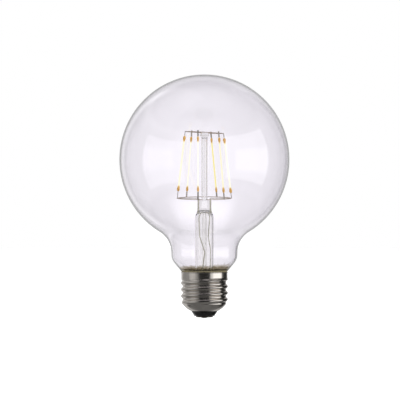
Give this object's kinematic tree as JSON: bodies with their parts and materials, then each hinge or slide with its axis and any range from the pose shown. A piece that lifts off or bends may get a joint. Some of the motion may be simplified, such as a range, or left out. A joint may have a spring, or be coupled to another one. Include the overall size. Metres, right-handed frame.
{
  "type": "globe bulb",
  "caption": "Clear globe lamp with a tapered cage of lit filament strips on a glass stem and an E27 screw cap.",
  "frame": {"origin": "outer end of the centre contact's solder dome, on the lamp's axis", "axes": "+Z along the lamp's axis from the cap to the globe's crown; -Y faces the picture's viewer; +X to the right there"},
  "size_m": [0.095, 0.095, 0.136],
  "materials": {
    "envelope_glass": "clear blown soda-lime glass",
    "stem_glass": "clear drawn lead-free stem glass",
    "support_wire": "drawn nickel-iron wire, satin",
    "lead_wire": "lead wire with a brown oxide film",
    "nickel_plated_shell": "rolled sheet, nickel-plated, satin bright",
    "capping_cement": "baked capping cement, matte",
    "cap_insulator": "black moulded insulator, glossy",
    "contact_plate": "pressed contact plate, satin",
    "solder": "solder bead, smooth",
    "circuit_board": "glass-epoxy board with green mask",
    "component_case": "black moulded component case",
    "capacitor_can": "drawn capacitor can",
    "resistor_body": "dipped resistor body",
    "filament_coating": "phosphor silicone over a lit strip",
    "filament_tab": "stamped steel tab"
  },
  "bodies": {
    "root": {"bridge_rectifier": "component_case", "capping_cement": "capping_cement", "centre_contact": "contact_plate", "centre_rod": "stem_glass", "contact_solder": "solder", "contact_wire": "lead_wire", "driver_board": "circuit_board", "driver_chip": "component_case", "exhaust_tube": "stem_glass", "filament_1": "filament_coating", "filament_1_lower_tab": "filament_tab", "filament_1_upper_tab": "filament_tab", "filament_2": "filament_coating", "filament_2_lower_tab": "filament_tab", "filament_2_upper_tab": "filament_tab", "filament_3": "filament_coating", "filament_3_lower_tab": "filament_tab", "filament_3_upper_tab": "filament_tab", "filament_4": "filament_coating", "filament_4_lower_tab": "filament_tab", "filament_4_upper_tab": "filament_tab", "filament_5": "filament_coating", "filament_5_lower_tab": "filament_tab", "filament_5_upper_tab": "filament_tab", "filament_6": "filament_coating", "filament_6_lower_tab": "filament_tab", "filament_6_upper_tab": "filament_tab", "fuse_resistor": "resistor_body", "glass_envelope": "envelope_glass", "insulator": "cap_insulator", "lead_wire_left": "lead_wire", "lead_wire_right": "lead_wire", "lower_frame_left": "support_wire", "lower_frame_right": "support_wire", "screw_shell": "nickel_plated_shell", "shell_wire": "lead_wire", "smoothing_capacitor": "capacitor_can", "stem_tube": "stem_glass", "upper_ring": "support_wire"}
  },
  "joints": []
}
